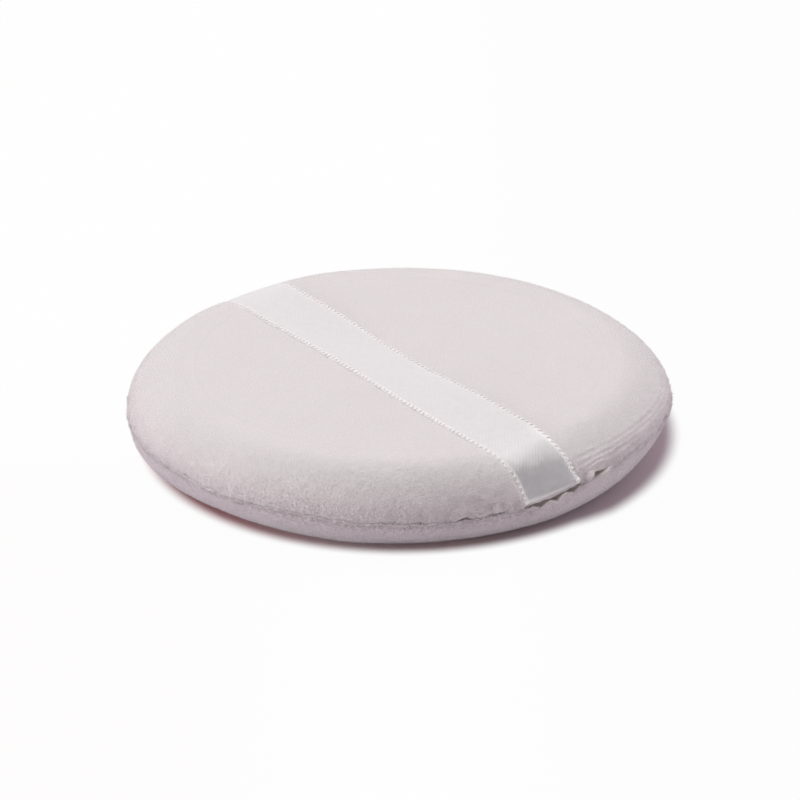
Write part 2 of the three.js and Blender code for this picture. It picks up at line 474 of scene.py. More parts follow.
def grid_faces(rings, turns):
    """Faces of a turned shell whose first and last rings are single points."""
    first = 1
    last = 1 + (rings - 2) * turns
    j = np.arange(turns)
    k = (j + 1) % turns
    top = np.stack([np.zeros(turns, int), first + j, first + k], 1)
    quads = []
    for i in range(rings - 3):
        a = first + i * turns
        quads.append(np.stack([a + j, a + turns + j, a + turns + k, a + k], 1))
    end = first + (rings - 3) * turns
    bottom = np.stack([end + j, np.full(turns, last), end + k], 1)
    return top.tolist() + np.concatenate(quads).tolist() + bottom.tolist()


def mesh_object(name, points, faces):
    """Smooth mesh in the scene, from points in millimetres."""
    mesh = bpy.data.meshes.new(name)
    mesh.from_pydata((np.asarray(points) * MM).tolist(), [], faces)
    mesh.polygons.foreach_set("use_smooth", np.ones(len(mesh.polygons), bool))
    mesh.update()
    piece = bpy.data.objects.new(name, mesh)
    bpy.context.scene.collection.objects.link(piece)
    return piece


def point_values(piece, name, values):
    """Adds one number per point to a mesh, for its material."""
    layer = piece.data.attributes.new(name, "FLOAT", "POINT")
    layer.data.foreach_set("value", np.asarray(values, np.float32).ravel())


def make_cover(name, line, fine_reach, side, relief):
    """Closed shell of one cover: side is 1 for the back and -1 for the powder face. Gives the
    piece, its points by ring and turn, and each ring's distance from the seam."""
    rings, s = rim_rings(line, fine_reach)
    normals = line_normals(rings)
    angle = (np.arange(TURNS) + 0.5) * 360 / TURNS - 180
    a, dist = np.meshgrid(angle, s)
    cos, sin = np.cos(np.radians(a)), np.sin(np.radians(a))
    r = np.repeat(rings[:, :1], TURNS, 1)
    h = np.repeat(rings[:, 1:], TURNS, 1)
    p = np.stack([r * cos, r * sin, SEAM_HEIGHT + side * h], -1)
    level = side * np.repeat(normals[:, 1:], TURNS, 1)
    n = np.stack([normals[:, :1] * cos, normals[:, :1] * sin, level], -1)
    move = np.where(dist > -6, relief(p, a, np.clip(dist, 0, None)), 0)
    move *= np.where(dist < 0, np.clip(1 + dist / 3, 0, 1) * 0.4, 1)
    move *= smoothstep(0, 3, r)
    p = p + n * move[..., None]
    p[..., 2] += lip_waves(a) * rim_zone(r, h, WAVES_ZONE)
    opened = gap_shape(a) * rim_zone(r, h, OPENING_ZONE)
    opened = opened * (BACK_OPENING if side > 0 else FACE_OPENING)
    p[..., 2] += seam_rise(a) * rise_share(r, h) + side * opened
    under = ribbon_cover(p) * rim_zone(r, h, UNDER_RIBBON_ZONE)
    p[..., 2] += side * under * RIBBON_THICKNESS
    if side < 0:
        roll = bell(a, ROLL_ANGLE, ROLL_HALF_WIDTH) * rim_zone(r, h, ROLL_ZONE)
        p += np.stack([cos, sin, ROLL_RISE + 0 * a], -1) * (ROLL_SIZE * roll)[..., None]
        lip = rim_zone(r, h, POCKET_ZONE)
        for middle, width, depth in POCKETS:
            p[..., 2] -= depth * bell(a, middle, width) * lip
    flat_points = np.concatenate([p[:1, 0], p[1:-1].reshape(-1, 3), p[-1:, 0]])
    faces = grid_faces(len(rings), TURNS)
    if side < 0:
        faces = [f[::-1] for f in faces]
    piece = mesh_object(name, flat_points, faces)

    def per_point(grid):
        return np.concatenate([grid[:1, 0], grid[1:-1].ravel(), grid[-1:, 0]])

    point_values(piece, "seam_distance", per_point(dist))
    return piece, p, s


def rim_tufts(s, reach, rng):
    """Row and column of tufts round the rim, closest together at the seam."""
    columns = int(2 * math.pi * PAD_RADIUS / PILE_SPACING)
    places = np.arange(0.03, 1, PILE_SPACING * 1.2 / reach) ** 1.3 * reach
    from_seam, column = np.meshgrid(places, np.arange(columns) * TURNS / columns, indexing="ij")
    from_seam = from_seam + rng.uniform(-0.5, 0.5, from_seam.shape) * PILE_SPACING
    from_seam = np.clip(from_seam, 0.02, reach)
    column = column + rng.uniform(-0.5, 0.5, column.shape) * TURNS / columns
    return np.interp(-from_seam.ravel(), -s, np.arange(len(s))), column.ravel() % TURNS


def top_tufts(points, radius, rng):
    """Row and column of tufts spread evenly over the flat top."""
    steps = np.arange(-radius, radius, TOP_PILE_SPACING)
    x, y = (
        g.ravel() + rng.uniform(-0.5, 0.5, g.size) * TOP_PILE_SPACING
        for g in np.meshgrid(steps, steps)
    )
    r = np.hypot(x, y)
    x, y, r = (v[r < radius] for v in (x, y, r))
    ring_radius = np.hypot(points[:, 0, 0], points[:, 0, 1])
    rows = int(np.argmax(ring_radius > radius + 2))
    column = ((np.degrees(np.arctan2(y, x)) + 180) * TURNS / 360 - 0.5) % TURNS
    return np.interp(r, ring_radius[:rows], np.arange(rows)), column


# Height of the nap by angle: it is pressed flatter at the photo's left and stands best beside the
# ribbon's near end
NAP_HEIGHT = (
    (-180, 0.6), (-120, 0.5), (-75, 0.55), (-50, 0.75), (-25, 1.1), (10, 1.0), (40, 0.8), (180, 0.6)
)  # fmt: skip
# Share of the seam that shows between stitches, by angle
SEAM_SHOWN = (
    (-180, 0.1), (-110, 0.1), (-75, 0.2), (-45, 0.35), (-20, 0.4), (15, 0.4), (40, 0.2), (180, 0.1)
)  # fmt: skip


def make_pile(name, points, s, side, tufts, length, fade_reach, rng, seed):
    """Tufts of pile standing on the outside of a cover. The powder face's tufts also stand up over
    the seam, and none grow under the ribbon."""
    row, column = tufts
    i = np.minimum(row.astype(int), len(s) - 2)
    j = column.astype(int) % TURNS
    k = (j + 1) % TURNS
    u = (row - i)[:, None]
    v = (column - np.floor(column))[:, None]
    a, b, c, d = points[i, j], points[i, k], points[i + 1, j], points[i + 1, k]
    root = (a * (1 - v) + b * v) * (1 - u) + (c * (1 - v) + d * v) * u
    turn = (b - a) * (1 - u) + (d - c) * u
    down = (c - a) * (1 - v) + (d - b) * v
    turn /= np.linalg.norm(turn, axis=1)[:, None]
    down /= np.linalg.norm(down, axis=1)[:, None]
    out = np.cross(down, turn) * side
    out /= np.linalg.norm(out, axis=1)[:, None]
    from_seam = np.interp(row, np.arange(len(s)), s)
    keep = np.ones(len(root), bool)
    if side > 0:
        keep = np.abs(root[:, 1] - ribbon_middle(root[:, 0])) > RIBBON_WIDTH / 2 + 0.05
    root, turn, down, out, from_seam = (x[keep] for x in (root, turn, down, out, from_seam))
    angle = np.degrees(np.arctan2(root[:, 1], root[:, 0]))
    shut = 1 - gap_shape(angle)
    closing = (1 - smoothstep(0.3, 1.3, from_seam)) * shut
    fade = 1 - smoothstep(fade_reach[0], fade_reach[1], from_seam)
    height = from_table(angle, NAP_HEIGHT)
    over = closing * (1 - from_table(angle, SEAM_SHOWN) * stitch_dips(angle))
    over = over if side < 0 else 0 * over
    size = length * (0.3 + 0.7 * fade * height * (1 - 0.5 * (closing - over)) + 0.8 * over)
    by_opening = np.maximum(1 - shut, bell(angle, -3.4, 4.5))
    by_opening = by_opening * (1 - smoothstep(0.5, 1.4, from_seam))
    size *= rng.uniform(0.7, 1.3, len(root)) * (1 - 0.75 * by_opening)
    across = PILE_LEAN * noise(root, 0.8, seed) + rng.normal(0, PILE_SPREAD, len(root))
    along = PILE_LEAN * noise(root, 0.8, seed + 1) + rng.normal(0, PILE_SPREAD, len(root))
    along = along + 0.2 * closing + 0.8 * over
    lay = NAP_LAY - out * (out @ NAP_LAY)[:, None]
    away = root * (1, 1, 0) / np.linalg.norm(root[:, :2], axis=1)[:, None]
    way = out + lay + turn * across[:, None] + down * along[:, None] + away * 0.15 * over[:, None]
    way /= np.linalg.norm(way, axis=1)[:, None]
    spin = rng.uniform(0, 2 * math.pi, len(root))
    corners = []
    for third in range(3):
        t = spin - side * third * 2 * math.pi / 3
        foot = turn * np.cos(t)[:, None] + down * np.sin(t)[:, None]
        corners.append(root - out * PILE_DEPTH + foot * PILE_WIDTH)
    corners.append(root + way * size[:, None])
    first = np.arange(len(root))[:, None] * 4
    sides = [first + np.array(f) for f in ((0, 1, 3), (1, 2, 3), (2, 0, 3), (2, 1, 0))]
    tuft_points = np.stack(corners, 1).reshape(-1, 3)
    piece = mesh_object(name, tuft_points, np.stack(sides, 1).reshape(-1, 3).tolist())
    level = closing[:, None]
    shading = (out * (1 - level) + away * level) * PILE_CLOTH_SHADING
    shading = shading + way * (1 - PILE_CLOTH_SHADING)
    piece.data.normals_split_custom_set_from_vertices(np.repeat(shading, 4, 0).tolist())
    point_values(piece, "seam_distance", np.repeat(np.maximum(from_seam, 0.5), 4))
    return piece


BACK_LINE = outer_line(BACK_FLAT_RADIUS, BACK_CROWN, BACK_SHOULDER_REACH, BACK_WALL_REACH)
FACE_LINE = outer_line(FACE_FLAT_RADIUS, FACE_CROWN, FACE_SHOULDER_REACH, FACE_WALL_REACH)
back, back_points, back_s = make_cover("velour_back", BACK_LINE, BACK_FINE_REACH, 1, back_relief)
face, face_points, face_s = make_cover("velour_face", FACE_LINE, FACE_FINE_REACH, -1, face_relief)
rng = np.random.default_rng(71)
tufts = rim_tufts(back_s, BACK_PILE_REACH, rng)
back_pile = make_pile(
    "velour_back_pile", back_points, back_s, 1, tufts, BACK_PILE_LENGTH, BACK_PILE_FADE, rng, 71
)
tufts = top_tufts(back_points, TOP_PILE_RADIUS, rng)
top_pile = make_pile(
    "velour_top_pile", back_points, back_s, 1, tufts, TOP_PILE_LENGTH, BACK_PILE_FADE, rng, 75
)
tufts = rim_tufts(face_s, FACE_PILE_REACH, rng)
face_pile = make_pile(
    "velour_face_pile", face_points, face_s, -1, tufts, FACE_PILE_LENGTH, FACE_PILE_FADE, rng, 81
)


def make_foam(name):
    """Foam disc with soft edges that fills the covers."""
    half = FOAM_THICKNESS / 2
    flat = FOAM_RADIUS - FOAM_EDGE
    edge = np.linspace(-math.pi / 2, math.pi / 2, 9)
    r = np.concatenate([np.linspace(0, flat, FOAM_RINGS), flat + FOAM_EDGE * np.cos(edge)])
    h = np.concatenate([np.full(FOAM_RINGS, -half), half * np.sin(edge)])
    r = np.concatenate([r, np.linspace(flat, 0, FOAM_RINGS)[1:]])
    h = np.concatenate([h, np.full(FOAM_RINGS - 1, half)])
    rings = np.delete(np.stack([r, h], 1), FOAM_RINGS, 0)[::-1]
    angle = np.radians(np.arange(FOAM_TURNS) * 360 / FOAM_TURNS)
    level = np.repeat(rings[:, 1:], FOAM_TURNS, 1)
    p = np.stack([rings[:, :1] * np.cos(angle), rings[:, :1] * np.sin(angle), level], -1)
    p = p * (1 + 0.004 * noise(p, 2.2, 91)[..., None]) + (0, 0, SEAM_HEIGHT)
    points = np.concatenate([p[:1, 0], p[1:-1].reshape(-1, 3), p[-1:, 0]])
    return mesh_object(name, points, grid_faces(len(rings), FOAM_TURNS))


foam = make_foam("foam_filling")


def ribbon_path():
    """Middle of the ribbon's thickness from the sewn end to the middle of the pad, as (radius,
    height from the seam), one point about every RIBBON_STEP."""
    total = length_of(BACK_LINE)
    s = np.concatenate([np.arange(0.9, 15, 0.15), np.arange(15, total, 0.5), [total]])
    line = resample(BACK_LINE, total - s)
    line_before = resample(BACK_LINE, total - (s - 0.02))
    along = line - line_before
    along /= np.linalg.norm(along, axis=1)[:, None]
    normal = np.stack([along[:, 1], -along[:, 0]], 1)
    lift = RIBBON_CLEARANCE - RIBBON_SINK - groove(s) - 0.9 * ribbon_pull(s)
    lifted = line + normal * lift[:, None]
    start = PAD_RADIUS - 1.0 - RIBBON_TAIL
    tuck = np.array(
        [(start, 0.0), (39.5, 0.0), (41.2, 0.0), (42.3, 0.02), (42.8, 0.15), (43.05, 0.45)]
    )
    path = np.concatenate([tuck, lifted])
    path[-1, 0] = 0
    for _ in range(6):
        path[1:-1] = path[1:-1] * 0.5 + (path[:-2] + path[2:]) * 0.25
    steps = int(round(length_of(path) / RIBBON_STEP))
    return resample(path, np.linspace(0, length_of(path), steps + 1))


RIBBON_PATH = ribbon_path()
RIBBON_HALF_LENGTH = length_of(RIBBON_PATH)


def ribbon_surface(end, row, across):
    """Place on the middle of the ribbon's thickness: end is 1 for the near half and -1 for the
    far half, row an index along it from the sewn end, across from -1 to 1."""
    rho = np.interp(row, np.arange(len(RIBBON_PATH)), RIBBON_PATH[:, 0])
    h = np.interp(row, np.arange(len(RIBBON_PATH)), RIBBON_PATH[:, 1])
    y = ribbon_middle(end * rho) + across * RIBBON_WIDTH / 2
    round_share = smoothstep(16, 36, rho)
    x = rho * np.sqrt(np.clip(1 - (y / np.maximum(rho, 12)) ** 2 * round_share, 0, 1))
    z = SEAM_HEIGHT + h
    if end > 0:
        angle = np.degrees(np.arctan2(y, np.maximum(x, 1)))
        z = z + seam_rise(angle) * rise_share(rho, h)
    twist = smoothstep(2, 22, x) * (1 - smoothstep(32, 40.5, x))
    z = z + twist * RIBBON_TWIST[end] * smoothstep(-1, 1, across) ** 1.3
    place = np.stack([end * x, y + 0 * x, z], -1)
    droop = RIBBON_EDGE_DROOP * np.minimum(np.abs(across), 1) ** 8
    place[..., 2] += back_swell(place) * smoothstep(0.5, 3, h) - droop
    return place


def ribbon_frame(end, row, across):
    """Directions along the ribbon, over its width and out of it."""
    e = 0.02
    along = ribbon_surface(end, row + e, across) - ribbon_surface(end, row - e, across)
    over = ribbon_surface(end, row, across + e) - ribbon_surface(end, row, across - e)
    along /= np.linalg.norm(along, axis=-1)[..., None]
    over /= np.linalg.norm(over, axis=-1)[..., None]
    normal = np.cross(over, along) * end
    normal /= np.linalg.norm(normal, axis=-1)[..., None]
    return along, over, normal


def make_ribbon(name, end):
    """Half of the ribbon as a thin closed strip, with its weave's places in millimetres."""
    rows = len(RIBBON_PATH)
    cols = RIBBON_COLUMNS + 1
    row, across = np.meshgrid(np.arange(rows, dtype=float), np.linspace(-1, 1, cols), indexing="ij")
    middle = ribbon_surface(end, row, across)
    normal = ribbon_frame(end, np.clip(row, 0.03, rows - 1.03), across)[2]
    thick = RIBBON_THICKNESS / 2 * (1 - 0.6 * bell(np.abs(across), 1, 0.05))
    upper = middle + normal * thick[..., None]
    lower = middle - normal * thick[..., None]
    points = np.concatenate([upper.reshape(-1, 3), lower.reshape(-1, 3)])
    half = rows * cols
    faces = []
    for i in range(rows - 1):
        for j in range(cols - 1):
            a = i * cols + j
            faces.append((a, a + cols, a + cols + 1, a + 1))
            faces.append((half + a, half + a + 1, half + a + cols + 1, half + a + cols))
        a = i * cols
        b = i * cols + cols - 1
        faces.append((a, half + a, half + a + cols, a + cols))
        faces.append((b, b + cols, half + b + cols, half + b))
    for j in range(cols - 1):
        faces.append((j, j + 1, half + j + 1, half + j))
        a = (rows - 1) * cols + j
        faces.append((a, half + a, half + a + 1, a + 1))
    if end < 0:
        faces = [f[::-1] for f in faces]
    piece = mesh_object(name, points, faces)
    piece.data.set_sharp_from_angle(angle=math.radians(40))
    weave = piece.data.uv_layers.new(name="weave")
    along_mm = RIBBON_HALF_LENGTH - row * RIBBON_HALF_LENGTH / (rows - 1)
    uv = np.stack([across * RIBBON_WIDTH / 2, end * along_mm], -1).reshape(-1, 2)
    uv = np.concatenate([uv, uv])
    corner = np.zeros(len(piece.data.loops), np.int32)
    piece.data.loops.foreach_get("vertex_index", corner)
    weave.data.foreach_set("uv", uv[corner].astype(np.float32).ravel())
    return piece


def make_selvedge(name, end):
    """Slanting bead stitches between two corded rails along both edges of half of the ribbon, and
    one knot at the near end."""
    segments, stacks = 8, 6
    v = np.linspace(0, math.pi, stacks + 1)[1:-1]
    u = np.arange(segments) * 2 * math.pi / segments
    ball = [(0, 0, 1)]
    for b in v:
        for a in u:
            ball.append((math.sin(b) * math.cos(a), math.sin(b) * math.sin(a), math.cos(b)))
    ball += [(0, 0, -1)]
    ball = np.array(ball)
    ball_faces = []
    for j in range(segments):
        k = (j + 1) % segments
        ball_faces.append((0, 1 + j, 1 + k))
        for i in range(stacks - 2):
            a = 1 + i * segments
            ball_faces.append((a + j, a + segments + j, a + segments + k, a + k))
        a = 1 + (stacks - 2) * segments
        ball_faces.append((a + j, len(ball) - 1, a + k))
    rng = np.random.default_rng(5 if end > 0 else 6)
    points, faces = [], []
    rows = len(RIBBON_PATH)
    rows_per_mm = (rows - 1) / RIBBON_HALF_LENGTH
    count = int((RIBBON_HALF_LENGTH - BEADED_FROM) / BEAD_PITCH)
    for edge in (-1, 1):
        for i in range(count):
            row = (BEADED_FROM + (i + 0.5) * BEAD_PITCH) * rows_per_mm
            at = ribbon_surface(end, row, edge * BEAD_PLACE)
            along, over, normal = ribbon_frame(end, row, edge * BEAD_PLACE)
            slant = math.radians(BEAD_SLANTS[edge]) + rng.normal(0, BEAD_UNEVENNESS)
            long_axis = over * math.cos(slant) + along * math.sin(slant)
            side_axis = np.cross(normal, long_axis)
            shape = ball * BEAD_SIZE * (1 + rng.normal(0, BEAD_UNEVENNESS))
            placed = at + normal * BEAD_LIFT + shape @ np.stack([long_axis, side_axis, normal])
            offset = len(points) * len(ball)
            points.append(placed)
            faces += [tuple(offset + x for x in f) for f in ball_faces]
    for edge in (-1, 1):
        for place in RAIL_PLACES:
            row = np.linspace(BEADED_FROM * rows_per_mm, rows - 1.03, 2 * rows)
            at = ribbon_surface(end, row, edge * place + 0 * row)
            along, over, normal = ribbon_frame(end, row, edge * place + 0 * row)
            turn = np.arange(RAIL_SIDES) * 2 * math.pi / RAIL_SIDES
            ring = over[:, None] * np.cos(turn)[:, None] + normal[:, None] * np.sin(turn)[:, None]
            tube = (at + normal * RAIL_LIFT)[:, None] + ring * RAIL_RADIUS
            offset = sum(len(x) for x in points)
            points.append(tube.reshape(-1, 3))
            for i in range(len(row) - 1):
                a, b = offset + i * RAIL_SIDES, offset + (i + 1) * RAIL_SIDES
                for j in range(RAIL_SIDES):
                    k = (j + 1) % RAIL_SIDES
                    quad = (a + j, a + k, b + k, b + j)
                    faces.append(quad if end > 0 else quad[::-1])
            first_cap = tuple(range(offset, offset + RAIL_SIDES))
            last = offset + (len(row) - 1) * RAIL_SIDES
            last_cap = tuple(range(last, last + RAIL_SIDES))
            if end > 0:
                faces += [first_cap[::-1], last_cap]
            else:
                faces += [first_cap, last_cap[::-1]]
    if end > 0:
        at = ribbon_surface(end, KNOT_PLACE * rows_per_mm, BEAD_PLACE)
        knot = at + ball * KNOT_SIZE + KNOT_SHIFT
        offset = sum(len(x) for x in points)
        faces += [tuple(offset + x for x in f) for f in ball_faces]
        points.append(knot)
    return mesh_object(name, np.concatenate(points), faces)


ribbon_near = make_ribbon("satin_ribbon_near", 1)
ribbon_far = make_ribbon("satin_ribbon_far", -1)
selvedge_near = make_selvedge("ribbon_selvedge_near", 1)
selvedge_far = make_selvedge("ribbon_selvedge_far", -1)


# Materials


class Nodes:
    """Short ways to build the node tree of a material or a world."""

    def __init__(self, owner):
        self.owner = owner
        owner.use_nodes = True
        self.tree = owner.node_tree
        self.tree.nodes.clear()

    def add(self, kind, sockets=None, **settings):
        node = self.tree.nodes.new(kind)
        for key, value in settings.items():
            setattr(node, key, value)
        for key, value in (sockets or {}).items():
            if isinstance(value, bpy.types.NodeSocket):
                self.tree.links.new(value, node.inputs[key])
            else:
                node.inputs[key].default_value = value
        return node

    def math(self, operation, a, b=0.0):
        return self.add("ShaderNodeMath", {0: a, 1: b}, operation=operation).outputs[0]

    def noise(self, vector, scale, detail=2.0, roughness=0.5):
        return self.add(
            "ShaderNodeTexNoise",
            {"Vector": vector, "Scale": scale, "Detail": detail, "Roughness": roughness},
        ).outputs[0]

    def ramp(self, value, stops):
        node = self.add("ShaderNodeValToRGB", {0: value})
        ramp = node.color_ramp
        while len(ramp.elements) < len(stops):
            ramp.elements.new(0.5)
        for element, (place, colour) in zip(ramp.elements, stops):
            element.position = place
            element.color = (*colour, 1)
        return node.outputs[0]

    def mix(self, share, a, b, blend="MIX"):
        sockets = {0: share, 6: a, 7: b}
        node = self.add("ShaderNodeMix", sockets, data_type="RGBA", blend_type=blend)
        return node.outputs[2]

    def span(self, value, start, stop, low=0.0, high=1.0, kind="LINEAR"):
        """Low to high as the value goes from start to stop."""
        sockets = {"Value": value, 1: start, 2: stop, 3: low, 4: high}
        return self.add("ShaderNodeMapRange", sockets, interpolation_type=kind).outputs[0]

    def sum(self, a, share_a, b, share_b):
        """Shares of two values, added up."""
        first = self.math("MULTIPLY", a, share_a)
        return self.math("ADD", first, self.math("MULTIPLY", b, share_b))

    def vector(self, operation, a, b):
        node = self.add("ShaderNodeVectorMath", {0: a, 1: b}, operation=operation)
        return node.outputs["Value"]

    def shader(self, kind, sockets):
        return self.add(kind, sockets).outputs[0]

    def surface(self, shader):
        self.add("ShaderNodeOutputMaterial", {0: shader})
        return self.owner


RIM_TINT = (1.0, 0.97, 0.988, 1)
SHEEN_TINT = (1.0, 0.98, 0.97, 1)


def velour(name, low, high, seam_dust_and_shade_tone, inside_tone, nap_depth):
    """Cut pile between two tones, with more contrast toward the seam, a darker tone in the seam's
    crease for dust and painted shade, and one for the cloth inside it."""
    n = Nodes(bpy.data.materials.new(name))
    place = n.add("ShaderNodeTexCoord").outputs["Object"]
    lay = n.shader("ShaderNodeMapping", {"Vector": place, "Scale": (1.0, 0.16, 0.16)})
    clump = n.noise(place, 1150, 3.0, 0.6)
    fine = n.noise(place, 3600, 2.0, 0.6)
    streak = n.noise(lay, 2600, 2.0, 0.6)
    patch = n.noise(place, 130, 2.0, 0.5)
    grain = n.sum(clump, 0.5, streak, 0.5)
    tone = n.sum(grain, 0.75, patch, 0.25)
    seam = n.add("ShaderNodeAttribute", attribute_name="seam_distance").outputs["Fac"]
    contrast = n.span(seam, 9.0, 0.5, 0.7, 1.7, kind="SMOOTHSTEP")
    tone = n.math("ADD", n.math("MULTIPLY", n.math("SUBTRACT", tone, 0.5), contrast), 0.5)
    colour = n.ramp(tone, [(0.25, low), (0.75, high)])
    rim = n.span(seam, 6.0, 0.5, kind="SMOOTHSTEP")
    colour = n.mix(rim, colour, RIM_TINT, blend="MULTIPLY")
    # Painted shade and dust: the cloth turns darker in the seam's crease
    crease = n.span(seam, 0.5, 0.0, kind="SMOOTHSTEP")
    dust_and_shade = n.math("MULTIPLY", crease, n.math("ADD", n.math("MULTIPLY", clump, 1.2), 0.1))
    colour = n.mix(dust_and_shade, colour, (*seam_dust_and_shade_tone, 1))
    inside = n.span(seam, 0.0, -0.8)
    colour = n.mix(inside, colour, (*inside_tone, 1))
    height = n.sum(grain, 0.7, fine, 0.3)
    height = n.math("MULTIPLY", height, n.span(seam, 8.0, 0.5, 0.6, 2.6, kind="SMOOTHSTEP"))
    bump = n.add("ShaderNodeBump", {"Height": height, "Strength": 0.4, "Distance": nap_depth})
    shader = n.shader(
        "ShaderNodeBsdfPrincipled",
        {
            "Base Color": colour,
            "Roughness": 0.95,
            "Specular IOR Level": 0.15,
            "Sheen Weight": 0.12,
            "Sheen Roughness": 0.45,
            "Sheen Tint": SHEEN_TINT,
            "Normal": bump.outputs[0],
        },
    )
    return n.surface(shader)


# Satin weave, in millimetres
TWILL_PITCH = 0.44
THREAD_PITCH = 0.18
BORDER_FROM, BORDER_TO = 4.15, 4.4
BORDER_TONE = (0.78, 0.76, 0.76, 1)


def satin():
    """Shiny ribbon with slanting twill lines and a plain woven border under the beads."""
    n = Nodes(bpy.data.materials.new("ribbon_satin"))
    weave = n.add("ShaderNodeUVMap", uv_map="weave").outputs[0]
    split = n.add("ShaderNodeSeparateXYZ", {0: weave})
    across, along = split.outputs[0], split.outputs[1]
    twill_place = n.sum(across, 0.80, along, 0.60)
    twill = n.math("SINE", n.math("MULTIPLY", twill_place, 2 * math.pi / TWILL_PITCH))
    thread = n.math("SINE", n.math("MULTIPLY", across, 2 * math.pi / THREAD_PITCH))
    edge = n.span(n.math("ABSOLUTE", across), BORDER_FROM, BORDER_TO)
    drift = n.noise(weave, 0.8, 2.0, 0.5)
    grain = n.math("ADD", n.sum(twill, 0.06, drift, 0.5), 0.25)
    colour = n.ramp(grain, [(0.3, (0.66, 0.645, 0.655)), (0.7, (0.73, 0.715, 0.72))])
    colour = n.mix(edge, colour, BORDER_TONE)
    height = n.math("ADD", n.sum(twill, 0.20, thread, 0.05), n.math("MULTIPLY", edge, 0.4))
    bump = n.add("ShaderNodeBump", {"Height": height, "Strength": 0.62, "Distance": 0.00006})
    rough = n.span(drift, 0.2, 0.8, 0.30, 0.38)
    tangent = n.add("ShaderNodeTangent", direction_type="UV_MAP", uv_map="weave").outputs[0]
    shader = n.shader(
        "ShaderNodeBsdfPrincipled",
        {
            "Base Color": colour,
            "Roughness": rough,
            "Metallic": 0.42,
            "Specular IOR Level": 0.9,
            "Anisotropic": 0.5,
            "Sheen Weight": 0.05,
            "Tangent": tangent,
            "Normal": bump.outputs[0],
        },
    )
    return n.surface(shader)


def stitched(name, low, high):
    """Twisted thread between two tones."""
    n = Nodes(bpy.data.materials.new(name))
    place = n.add("ShaderNodeTexCoord").outputs["Object"]
    twist = n.noise(place, 5200, 2.0, 0.6)
    colour = n.ramp(twist, [(0.35, low), (0.65, high)])
    bump = n.add("ShaderNodeBump", {"Height": twist, "Strength": 0.4, "Distance": 0.00005})
    shader = n.shader(
        "ShaderNodeBsdfPrincipled",
        {
            "Base Color": colour,
            "Roughness": 0.45,
            "Specular IOR Level": 0.5,
            "Normal": bump.outputs[0],
        },
    )
    return n.surface(shader)


def open_cell():
    """Yellowish foam with small open cells."""
    n = Nodes(bpy.data.materials.new("open_cell_foam"))
    place = n.add("ShaderNodeTexCoord").outputs["Object"]
    cells = n.shader("ShaderNodeTexVoronoi", {"Vector": place, "Scale": 1400})
    colour = n.ramp(cells, [(0.1, (0.62, 0.58, 0.47)), (0.6, (0.86, 0.83, 0.74))])
    bump = n.add("ShaderNodeBump", {"Height": cells, "Strength": 0.6, "Distance": 0.0004})
    shader = n.shader(
        "ShaderNodeBsdfPrincipled",
        {"Base Color": colour, "Roughness": 0.9, "Normal": bump.outputs[0]},
    )
    return n.surface(shader)


BACK_INSIDE = (0.74, 0.67, 0.62)
FACE_INSIDE = (0.74, 0.68, 0.64)
back_nap = velour(
    "back_nap", (0.90, 0.865, 0.865), (0.96, 0.93, 0.925), (0.89, 0.85, 0.84), BACK_INSIDE, 0.00005
)
face_nap = velour(
    "face_nap", (0.88, 0.835, 0.855), (0.94, 0.90, 0.915), (0.89, 0.84, 0.845), FACE_INSIDE, 0.00005
)
back_velour = velour(
    "back_velour",
    (0.71, 0.68, 0.675),
    (0.80, 0.77, 0.765),
    (0.71, 0.67, 0.655),
    BACK_INSIDE,
    0.00022,
)
face_velour = velour(
    "face_velour", (0.70, 0.66, 0.67), (0.78, 0.74, 0.75), (0.70, 0.65, 0.645), FACE_INSIDE, 0.00014
)
ribbon_satin = satin()
bead_silk = stitched("bead_silk", (0.885, 0.865, 0.855), (0.94, 0.92, 0.91))
sewing_cotton = stitched("sewing_cotton", (0.72, 0.70, 0.67), (0.86, 0.84, 0.81))
foam_cells = open_cell()

for piece, material, slot in (
    (back, back_velour, "velour"),
    (face, face_velour, "velour"),
    (back_pile, back_nap, "velour"),
    (top_pile, back_nap, "velour"),
    (face_pile, face_nap, "velour"),
    (foam, foam_cells, "foam"),
    (ribbon_near, ribbon_satin, "satin"),
    (ribbon_far, ribbon_satin, "satin"),
    (selvedge_near, bead_silk, "satin"),
    (selvedge_far, bead_silk, "satin"),
):
    piece.data.materials.append(material)

for name in ("needle_thread", "bobbin_thread", "closing_thread"):
    nodes[name].data.materials.clear()
    nodes[name].data.materials.append(sewing_cotton)

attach(back, "pad")
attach(face, "pad")
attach(foam, "pad")
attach(back_pile, "pad")
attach(top_pile, "pad")
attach(face_pile, "pad")
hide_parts("back_cover")
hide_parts("face_cover")
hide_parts("foam_core")
for half, beads, tail, end in (
    (ribbon_near, selvedge_near, "ribbon_near_tail", 1),
    (ribbon_far, selvedge_far, "ribbon_far_tail", -1),
):
    for piece in (half, beads):
        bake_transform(piece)
    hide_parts("ribbon_span", tail)


# Floor, light and camera

CAMERA_AZIMUTH = math.radians(53.5)
CAMERA_ELEVATION = math.radians(26.4)
CAMERA_DISTANCE = 0.500
FOCAL_PIXELS = 3118.0
IMAGE_SIDE = 800.0
ORIGIN_IN_IMAGE = (398.9, 436.6)
CAMERA_ROLL = math.radians(-0.48)
SENSOR = 36.0
RIGHT = Vector((math.cos(CAMERA_AZIMUTH), math.sin(CAMERA_AZIMUTH), 0))
TOWARD = Vector((math.sin(CAMERA_AZIMUTH), -math.cos(CAMERA_AZIMUTH), 0))
UP = Vector((0, 0, 1))
